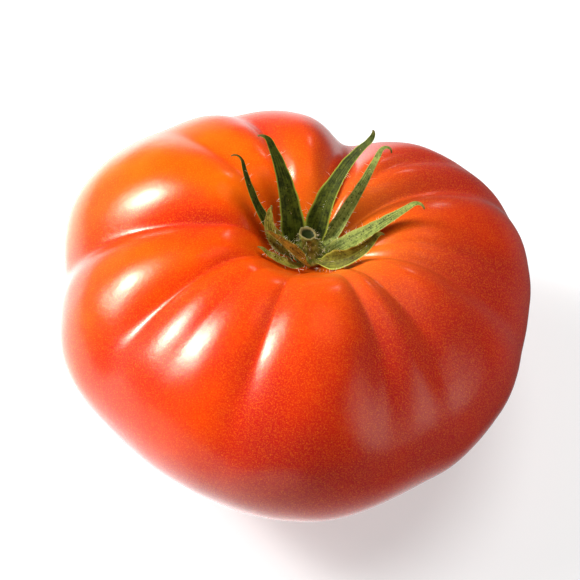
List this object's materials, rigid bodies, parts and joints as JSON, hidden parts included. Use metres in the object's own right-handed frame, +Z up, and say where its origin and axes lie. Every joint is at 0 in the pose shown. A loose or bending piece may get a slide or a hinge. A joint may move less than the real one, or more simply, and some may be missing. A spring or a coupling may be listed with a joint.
{
  "type": "tomato",
  "caption": "Ribbed beefsteak tomato with a deep stem hollow, a cut stalk and curling green sepals, resting on a small flat spot underneath.",
  "frame": {"origin": "on the surface the tomato rests on, under the middle of its bounding box", "axes": "+Z up, from the blossom end to the stem; +X to the right of the view that shows the withered sepals in front on the left; +Y away from that view, towards the deep cleft"},
  "size_m": [0.094, 0.0974, 0.066],
  "materials": {
    "fruit_skin": "glossy waxy red-orange tomato skin",
    "stalk_green": "matt hairy olive-green stalk with a dry tan cut end",
    "sepal_dark_green": "matt dark green leaf with a paler rim",
    "sepal_pale_green": "matt pale green leaf with dark flecks",
    "sepal_olive": "matt olive leaf with a brown flush",
    "sepal_brown": "dry brown withered leaf",
    "sepal_straw": "dry yellow-green withered leaf"
  },
  "bodies": {
    "root": {"fruit": "fruit_skin", "stem_stub": "stalk_green", "sepal_left_slender": "sepal_dark_green", "sepal_back_broad": "sepal_dark_green", "sepal_back_long": "sepal_dark_green", "sepal_right_narrow": "sepal_pale_green", "sepal_right_flecked": "sepal_pale_green", "sepal_front_short": "sepal_olive", "sepal_withered_brown": "sepal_brown", "sepal_withered_curled": "sepal_straw", "sepal_front_left_small": "sepal_straw"}
  },
  "joints": []
}
